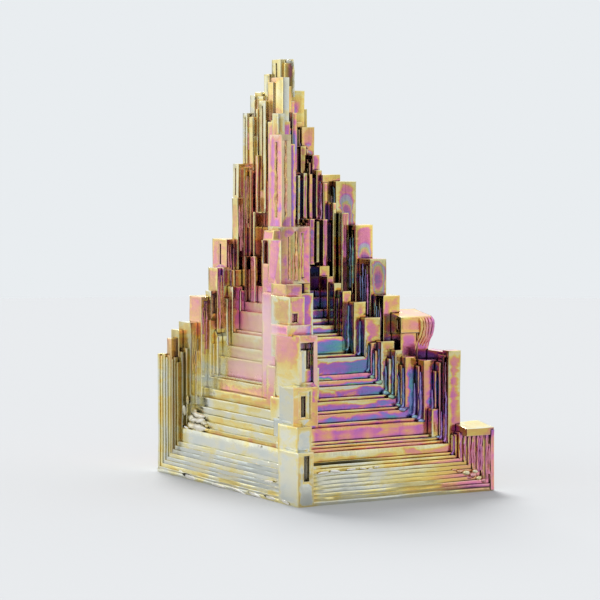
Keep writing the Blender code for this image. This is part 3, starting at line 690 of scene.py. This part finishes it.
def grow(name, points, edges, rows, group, names, values):
    # run a group once on a few guide points, and keep the result as a plain mesh
    guide = bpy.data.meshes.new(name + "_guide")
    guide.from_pydata([tuple(np.array(p) * mm) for p in points], edges, [])
    addAttributes(guide, rows)
    carrier = addObject(name + "_guide", guide)
    modifier = carrier.modifiers.new("grow", "NODES")
    modifier.node_group = group
    for key, given in values.items():
        modifier[names[key]] = given
    graph = bpy.context.evaluated_depsgraph_get()
    grown = carrier.evaluated_get(graph)
    data = bpy.data.meshes.new_from_object(grown, preserve_all_data_layers=True, depsgraph=graph)
    bpy.data.objects.remove(carrier)
    data.name = name
    return data


# What the film reads on the threads and lumps, which have no flat faces
onSkin = {
    "shadeRays": 8,
    "shadeStart": 0.1,  # mm
    "rimShare": 0.6,  # rim film over face film
    "everywhere": {"outerGap": 0.6, "innerGap": 1.0, "aside": 9.0, "below": 9.0, "faceSize": 0.7,
                   "ringed": 0.0, "shallow": 0.5, "mood": 0.5},
}


def dress(data, skinTree, name, material, settings):
    # the values that the film reads, for a piece that grew on the skin
    count = len(data.vertices)
    co = np.empty(count * 3)
    data.vertices.foreach_get("co", co)
    co = np.clip(co.reshape(-1, 3), *cadBox)
    data.vertices.foreach_set("co", co.reshape(-1))
    data.update()
    zone = np.empty(count, dtype=np.float32)
    data.attributes["filmZone"].data.foreach_get("value", zone)
    reach, start = crystal["shadeReach"] * mm, settings["shadeStart"] * mm
    shade = occlusion(data, skinTree, settings["shadeRays"], reach, start)
    addAttributes(data, {"rimZone": zone * settings["rimShare"], "hollow": shade})
    addAttributes(data, {key: np.full(count, given) for key, given in settings["everywhere"].items()})
    data.shade_smooth()
    piece = addObject(name, data)
    if not data.materials:
        data.materials.append(material)
    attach(piece, "root")
    print(name, "has", len(data.polygons), "faces")


def toFrame(p):
    return tuple(np.array(p) + np.array(crystal["layoutShift"]))


def addThreads(settings, skinTree, material):
    chance = random.Random(settings["seed"])
    points, edges, rows = [], [], {"thickness": [], "filmZone": [], "shadeAndTone": [], "mattAndPaintedLight": []}

    # each strand carries its radius, its film and its share of painted shade and darker tone
    def strand(path, radius, zone, shadeAndTone):
        for i, p in enumerate(path):
            if i:
                edges.append((len(points) - 1, len(points)))
            points.append(toFrame(p))
            radiusHere = radius * mm * (1.0 if i else settings["tip"])
            for key, given in zip(rows, (radiusHere, zone, shadeAndTone, settings["mattAndPaintedLight"])):
                rows[key].append(given)

    for x, y, z, length, radius in settings["hopperDrips"]:
        deep = 0.37 + 0.15 * min(1.0, (z - 5) / 9)
        strand(((x - 0.08, y - 0.1, z + length), (x - 0.1, y - 0.12, z + length * 0.5),
                (x - 0.14, y - 0.14, z + 0.45), (x - 0.55, y - 0.2, z + 0.16)), radius, deep, 0.35)
        path = ((x - 0.2, y - 0.24, z + 0.25), (x - 0.36, y - 0.3, z + 0.05))
        strand(path, radius * 1.45, deep + 0.06, 0.2)
    for x, yFrom, yTo, top in settings["towerRibs"]:
        for i in range(4):
            y = yFrom + (yTo - yFrom) * (i + 0.5) / 4
            start = top - 0.3 - 2.2 * chance.random()
            length = 4.5 + 5.0 * chance.random()
            strand(((x + 0.02, y, start), (x - 0.03, y, start - length * 0.5), (x - 0.03, y, start - length)),
                   0.14 + 0.14 * chance.random(), 0.3 + 0.3 * chance.random(), 0.45)
    for xFrom, xTo, y, top in settings["leftRibs"]:
        for i in range(3):
            x = xFrom + (xTo - xFrom) * (i + 0.5) / 3
            start = top - 0.4 - 1.6 * chance.random()
            length = 4.0 + 4.0 * chance.random()
            strand(((x, y + 0.02, start), (x, y - 0.03, start - length * 0.5), (x, y - 0.03, start - length)),
                   0.1 + 0.1 * chance.random(), 0.14 + 0.14 * chance.random(), 0.25)
    for x, y, low, high in settings["blockRibs"]:
        middle = (low + high) / 2
        strand(((x, y + 0.03, high), (x + 0.06, y, middle + 1.4), (x - 0.08, y, middle),
                (x + 0.05, y, middle - 1.4), (x, y + 0.02, low + 0.1)),
               0.19, 0.25 + 0.08 * chance.random(), 0.15)
    for i in range(5):  # the curled ribs of the upper right block
        x = 26.1 + 0.5 * i
        strand(((x, 8.95, 25.3), (x + 0.1, 8.62, 24.7), (x + 0.15, 8.58, 23.6), (x, 8.75, 22.6),
                (x - 0.35, 9.25, 21.2), (x - 0.5, 9.5, 20.2)), 0.25, 0.16 + 0.03 * i, 0.1)
    for x, y, low, high, radius in settings["boxRibs"]:
        zone = 0.15 + 0.08 * chance.random()
        strand(((x, y, high), (x, y, (low + high) / 2), (x, y, low)), radius, zone, 0.0)
    for i in range(5):  # the broken summit
        x = 14.3 + 0.36 * i
        path = ((x, 28.45, 63.6), (x, 28.35, 61.6), (x + 0.05, 28.4, 59.6 - i * 0.4))
        strand(path, 0.24, 0.07, 0.1 + 0.06 * i)
    group, names = threadGroup()
    values = {"Spacing": settings["spacing"] * mm, "Sides": settings["sides"], "Lumps": settings["lumps"],
              "Wobble": settings["wobble"] * mm, "Wobble Size": settings["wobbleSize"] * mm,
              "Lump Size": settings["lumpSize"] * mm, "Seed": float(settings["seed"]), "Material": material}
    data = grow("crystal_threads", points, edges, rows, group, names, values)
    dress(data, skinTree, "crystal_threads", material, onSkin)


def addNodules(settings, skinTree, material):
    made = list(settings["lumps"])
    made += [row + settings["poolLook"] for row in settings["pools"]]
    made += [row + settings["chipLook"] for row in settings["chips"]]
    points = [toFrame(row[:3]) for row in made]
    rows = {}
    for i, key in enumerate(("deep", "long", "tall", "filmZone", "shadeAndTone", "mattAndPaintedLight")):
        rows[key] = [row[3 + i] * (mm if i < 3 else 1) for row in made]
    rows["thin"] = [min(row[3:6]) * mm for row in made]
    group, names = noduleGroup(settings["tilt"])
    values = {"Finer": settings["finer"], "Rough": settings["rough"], "Grain": settings["grain"] * mm,
              "Seed": float(settings["seed"]), "Turn Seed": settings["seed"], "Material": material}
    data = grow("crystal_nodules", points, [], rows, group, names, values)
    dress(data, skinTree, "crystal_nodules", material, onSkin)


# The oxide film: colours follow its thickness
film = {
    "ramp": [  # thickness and colour
        (0.0, (0.67, 0.72, 0.68)), (0.06, (0.835, 0.82, 0.69)),
        (0.12, (0.87, 0.77, 0.33)), (0.17, (0.88, 0.63, 0.13)),
        (0.22, (0.84, 0.45, 0.21)), (0.26, (0.85, 0.37, 0.27)),
        (0.3, (0.84, 0.31, 0.37)), (0.35, (0.74, 0.22, 0.43)),
        (0.42, (0.55, 0.18, 0.57)), (0.49, (0.38, 0.22, 0.66)),
        (0.56, (0.2, 0.28, 0.6)), (0.63, (0.11, 0.37, 0.44)),
        (0.7, (0.24, 0.48, 0.26)), (0.77, (0.66, 0.56, 0.2)),
        (0.84, (0.8, 0.38, 0.26)), (0.91, (0.62, 0.18, 0.38)),
        (1.0, (0.32, 0.2, 0.4)),
    ],
    "rimWidth": (0.34, 1.05),  # mm, on the narrowest and on broad faces
    "patchSize": 3.6,  # mm, islands of one colour
    "patchShare": 1.15,
    "shore": (0.27, 0.56),  # where the rim film gives way to the face film
    "drift": 0.16,  # slow change over the whole crystal
    "streaks": 0.45,
    "moodFilm": (0.35, 0.08),  # each face's own share: of its film, and at least
    "creaseFilm": 0.22,  # how much thicker the film is in the creases
    "paintedCreaseShade": (0.8, 0.18),  # painted crease shade: light left in a crease, where bare and where thickly coated
    "creaseShadeWidth": (0.12, 0.2),  # mm, how far the painted crease shade reaches
    "paintedHollowShade": 0.2,
    # painted shade and darker tone: how much they darken
    "shadeAndToneDepth": 0.62,
    "moodShade": 0.22,  # how much some faces are darker than others
    # painted highlight on the outer edges: its strength and colour
    "edgeLight": 0.4,
    "edgeHighlightColour": (0.95, 0.9, 0.72),
    "paintedMirrorPale": (0.3, 0.13),  # painted reflection, paler where one side mirrors the other: thin film, thick film
    "paintedMirrorTint": ((0.94, 0.83, 0.76), (0.58, 0.56, 0.8)),  # the colours of this painted reflection
    "eyeFilm": 0.74,  # rings of colour on the tower faces
    "eyeBelow": 5.1,  # mm under the top
    "eyeSize": (1.75, 3.3),  # mm, half width and half height
    "blotch": 0.038,  # jagged patches on the palest faces
    "ringGrey": (0.55, 0.47, 0.51),
    # the crust colour: real on the lumps, painted light on the skin
    "crustAndPaintedLight": (0.9, 0.85, 0.78),
    "roughness": (0.1, 0.22),
    "bump": 0.00006,  # metres
}


def filmMaterial(settings):
    material = bpy.data.materials.new("oxide_film_bismuth")
    material.use_nodes = True
    tree = material.node_tree
    shader = tree.nodes["Principled BSDF"].inputs
    calc = partial(mathNode, tree)
    times, timesPlus = partial(calc, "MULTIPLY"), partial(calc, "MULTIPLY_ADD")
    remap = partial(rangeNode, tree)
    speckle = partial(noiseNode, tree, newNode(tree, "ShaderNodeTexCoord").outputs["Object"])
    zone, rim, outer, inner, hollow, shadeAndTone, aside, below, faceSize, mood, ringed, shallow, mattAndPaintedLight = [
        newNode(tree, "ShaderNodeAttribute", attribute_name=name).outputs["Fac"] for name in (
            "filmZone", "rimZone", "outerGap", "innerGap", "hollow", "shadeAndTone", "aside", "below", "faceSize",
            "mood", "ringed", "shallow", "mattAndPaintedLight")]
    pattern = times(mood, 37.0)

    # thin at the rim of a face and thick inside it, with an irregular shore between the two
    islands = speckle(settings["patchSize"], 4.0, 0.58, 1.0, stretch=(0.75, 0.75, 1.5), own=pattern)
    islands = times(calc("SUBTRACT", islands, 0.5), settings["patchShare"])
    rimWidth = remap(faceSize, 0.8, 4.0, *settings["rimWidth"], "LINEAR")
    fromRim = times(calc("MINIMUM", calc("DIVIDE", outer, rimWidth), 1.0), 0.5)
    shore = remap(calc("ADD", calc("ADD", fromRim, 0.16), islands), *settings["shore"], 0.0, 1.0)
    thick = timesPlus(calc("SUBTRACT", times(zone, 1.15), rim), shore, rim)
    # slow drift over the whole crystal, finer streaks, and each face's own share
    drift = calc("SUBTRACT", speckle(5.5, 2.0, 0.5, 0.3), 0.5)
    thick = timesPlus(drift, settings["drift"], thick)
    streaks = speckle(1.1, 2.0, 0.5, 0.5, stretch=(0.5, 0.5, 1.8), own=pattern)
    streaks = times(calc("SUBTRACT", streaks, 0.5), zone)
    thick = timesPlus(streaks, settings["streaks"], thick)
    share = times(calc("SUBTRACT", mood, 0.5), remap(ringed, 0.0, 1.0, 1.0, 0.3))
    thick = timesPlus(times(share, zone), settings["moodFilm"][0], thick)
    thick = timesPlus(share, settings["moodFilm"][1], thick)
    blotch = remap(speckle(3.4, 6.0, 0.62, 0.6, stretch=(0.6, 0.6, 1.4)), 0.47, 0.54, -0.4, 0.6)
    blotch = times(blotch, remap(zone, 0.16, 0.26, settings["blotch"], 0.0))
    thick = calc("ADD", thick, blotch)
    # rings of colour round a middle some way below the top of a broad tower face
    ringAt = timesPlus(mood, 0.7, settings["eyeBelow"])
    fromMiddle = calc("DIVIDE", aside, settings["eyeSize"][0])
    fromLow = calc("DIVIDE", calc("SUBTRACT", below, ringAt), settings["eyeSize"][1])
    radius = calc("ADD", times(fromMiddle, fromMiddle), times(fromLow, fromLow))
    radius = timesPlus(islands, 0.6, radius)
    eye = remap(radius, 0.0, 1.0, settings["eyeFilm"], 0.0, "LINEAR")
    eye = times(eye, remap(faceSize, 1.1, 1.8, 0.0, 1.0))
    eye = times(times(eye, ringed), shore)
    thick = calc("ADD", thick, eye)
    crease = remap(inner, 0.0, 0.55, settings["creaseFilm"], 0.0)
    thick = timesPlus(crease, zone, thick)
    thick = calc("ADD", thick, 0.0, clamp=True)

    ramp = newNode(tree, "ShaderNodeValToRGB", (("Fac", thick),))
    ramp.color_ramp.interpolation = "B_SPLINE"
    stops = ramp.color_ramp.elements
    while len(stops) < len(settings["ramp"]):
        stops.new(0.5)
    for stop, (at, colour) in zip(stops, settings["ramp"]):
        stop.position = at
        stop.color = colour + (1.0,)

    # the rings on the towers go from pink through grey to gold
    grey = times(remap(thick, 0.37, 0.48, 0.0, 0.8), remap(thick, 0.7, 0.75, 1.0, 0.0))
    rings = mixNode(tree, times(grey, ringed), ramp.outputs["Color"], settings["ringGrey"])

    # painted highlight on the outer edges, painted shade in creases and hollows
    edge = remap(outer, 0.0, 0.1, settings["edgeLight"], 0.0)
    edge = times(edge, remap(hollow, 0.3, 0.8, 1.0, 0.1))
    colour = mixNode(tree, edge, rings, settings["edgeHighlightColour"])
    # painted reflection: paler in the hollows where faces mirror each other
    paintedMirrorPale = remap(zone, 0.25, 0.36, *settings["paintedMirrorPale"])
    paintedMirrorPale = timesPlus(shallow, 0.48, paintedMirrorPale)
    paintedMirrorPale = times(paintedMirrorPale, remap(hollow, 0.35, 0.8, 0.0, 1.0))
    paintedMirrorTint = mixNode(tree, remap(zone, 0.3, 0.42, 0.0, 1.0), *settings["paintedMirrorTint"])
    colour = mixNode(tree, paintedMirrorPale, colour, paintedMirrorTint)
    # paler towards the crust colour: real crust on the lumps, painted light on the skin
    colour = mixNode(tree, times(mattAndPaintedLight, 0.9), colour, settings["crustAndPaintedLight"])
    # painted shade: darker in deep hollows, from the occlusion
    dark = remap(hollow, 0.55, 0.97, 1.0, settings["paintedHollowShade"])
    # painted shade along the creases
    creaseShadeWidth = remap(speckle(2.5), 0.3, 0.7, *settings["creaseShadeWidth"], "LINEAR")
    creaseShadeLine = remap(calc("DIVIDE", inner, creaseShadeWidth), 0.2, 1.0, 1.0, 0.0)
    creaseShadeDepth = remap(zone, 0.06, 0.22, *[1.0 - light for light in settings["paintedCreaseShade"]])
    dark = times(dark, calc("SUBTRACT", 1.0, times(creaseShadeLine, creaseShadeDepth)))
    # painted light: the painted shade lifted in shallow windows and hollows
    dark = timesPlus(calc("SUBTRACT", 1.0, dark), shallow, dark)
    # painted shade where faces look into the dark, and darker tone on some parts
    dusk = calc("SUBTRACT", 1.0, times(shadeAndTone, settings["shadeAndToneDepth"]))
    shade = timesPlus(mood, settings["moodShade"], 1.04 - settings["moodShade"])
    dark = times(dark, times(dusk, shade))
    tree.links.new(mixNode(tree, 1.0, colour, dark, blend="MULTIPLY"), shader["Base Color"])

    shader["Metallic"].default_value = 1.0
    rough = remap(speckle(1.2), 0.3, 0.7, *settings["roughness"], "LINEAR")
    tree.links.new(timesPlus(mattAndPaintedLight, 0.4, rough), shader["Roughness"])
    stripes = speckle(0.34, 1.0, 0.5, 0.4, stretch=(1.0, 1.0, 0.07), own=pattern)
    stripes = times(stripes, remap(zone, 0.1, 0.24, 0.0, 0.35))
    height = calc("ADD", speckle(1.4), stripes)
    inputs = (("Strength", 0.6), ("Distance", settings["bump"]), ("Height", height))
    tree.links.new(newNode(tree, "ShaderNodeBump", inputs).outputs["Normal"], shader["Normal"])
    return material


skin = buildSkin(crystal)
filmLook = filmMaterial(film)
skin.data.materials.append(filmLook)
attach(skin, "root")
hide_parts(crystal["node"])
skinTree = treeOf(skin.data)
addThreads(threads, skinTree, filmLook)
addNodules(nodules, skinTree, filmLook)

# The surroundings
studio = {
    "floorRadius": 0.45,  # metres
    "floorSides": 96,
    "paper": (0.43, 0.431, 0.435),
    "sun": 3.9,
    "sunAngle": 26,  # degrees across, so that the shadow is soft
    "sunTravel": (-0.17, -0.68, -0.71),
    "lowLight": 0.42,  # round light near the ground and overhead
    "highLight": 0.95,
    "dusk": (-0.15, 0.75),  # heights between which it brightens
    "lightColour": (0.96, 1.0, 1.03),
    "softBoxes": (  # towards, cosine where full, cosine where it ends, strength
        ((-0.75, 0.62, 0.12), 0.97, 0.8, 0.75),
        ((0.8, -0.55, 0.1), 0.96, 0.82, 0.5),
        ((-0.5, -0.8, 0.55), 0.95, 0.75, 0.55),
        ((0.6, 0.7, 0.3), 0.94, 0.75, 0.55),
    ),
    "background": (0.8148, 0.8469, 0.8714),
    "focalPixels": 2351.0,
    "imageSize": 600.0,
    "turn": 30.4,  # degrees from straight at the front
    "drop": 150.0 / 2351.0,  # downward slope of the view
    "scale": 0.14,  # mm per pixel at the foot of the near corner
    "cornerPixel": (298.0, 508.0),  # where that foot is seen
    "sensor": 36.0,  # mm
    "nearest": 0.01,  # metres
}


def addFloor(settings):
    data = bpy.data.meshes.new("floor")
    sides, radius = settings["floorSides"], settings["floorRadius"]
    turns = [math.tau * i / sides for i in range(sides)]
    ring = [(math.cos(turn) * radius, math.sin(turn) * radius, 0) for turn in turns]
    data.from_pydata(ring, [], [tuple(range(sides))])
    floor = addObject("floor", data)
    paper = bpy.data.materials.new("paper")
    paper.use_nodes = True
    look = paper.node_tree.nodes["Principled BSDF"]
    look.inputs["Base Color"].default_value = settings["paper"] + (1,)
    look.inputs["Roughness"].default_value = 1.0
    look.inputs["Specular IOR Level"].default_value = 0.0
    data.materials.append(paper)


def addCamera(settings):
    turn = math.radians(settings["turn"])
    drop = math.atan(settings["drop"])
    focal = settings["focalPixels"]
    half = settings["imageSize"] / 2
    away = Vector((math.sin(turn), math.cos(turn), 0))
    right = Vector((math.cos(turn), -math.sin(turn), 0))
    forward = away * math.cos(drop) - Vector((0, 0, 1)) * math.sin(drop)
    up = away * math.sin(drop) + Vector((0, 0, 1)) * math.cos(drop)
    distance = focal * settings["scale"]
    px, py = settings["cornerPixel"]
    across, down = (px - half) / focal * distance, (py - half) / focal * distance
    place = Vector(crystal["layoutShift"]) - (forward * distance + right * across - up * down)
    data = bpy.data.cameras.new("camera")
    data.sensor_width = settings["sensor"]
    data.lens = focal * settings["sensor"] / settings["imageSize"]
    data.clip_start = settings["nearest"]
    camera = addObject("camera", data)
    turned = Matrix((right, up, -forward)).transposed().to_4x4()
    camera.matrix_world = Matrix.Translation(place * mm) @ turned
    bpy.context.scene.camera = camera


def addSun(settings):
    # one broad soft light from behind and above, whose shadow falls towards the camera
    data = bpy.data.lights.new("key", "SUN")
    data.energy = settings["sun"]
    data.angle = math.radians(settings["sunAngle"])
    lamp = addObject("key", data)
    lamp.rotation_euler = Vector(settings["sunTravel"]).to_track_quat("-Z", "Y").to_euler()


def addWorld(settings):
    world = bpy.data.worlds.new("studio")
    world.use_nodes = True
    tree = world.node_tree
    direction = newNode(tree, "ShaderNodeTexCoord").outputs["Generated"]
    height = newNode(tree, "ShaderNodeSeparateXYZ", ((0, direction),)).outputs["Z"]
    light = rangeNode(tree, height, *settings["dusk"], settings["lowLight"], settings["highLight"])
    for aim, near, far, strength in settings["softBoxes"]:
        inputs = ((0, direction), (1, Vector(aim).normalized()))
        facing = newNode(tree, "ShaderNodeVectorMath", inputs, operation="DOT_PRODUCT").outputs["Value"]
        light = mathNode(tree, "ADD", light, rangeNode(tree, facing, far, near, 0.0, strength))
    inputs = ((0, settings["lightColour"]), ("Scale", light))
    tint = newNode(tree, "ShaderNodeVectorMath", inputs, operation="SCALE").outputs["Vector"]
    seen = newNode(tree, "ShaderNodeLightPath").outputs["Is Camera Ray"]
    around = mixNode(tree, seen, tint, settings["background"])
    tree.links.new(around, tree.nodes["Background"].inputs["Color"])
    bpy.context.scene.world = world
    bpy.context.scene.view_settings.view_transform = "Standard"


addFloor(studio)
addCamera(studio)
addSun(studio)
addWorld(studio)
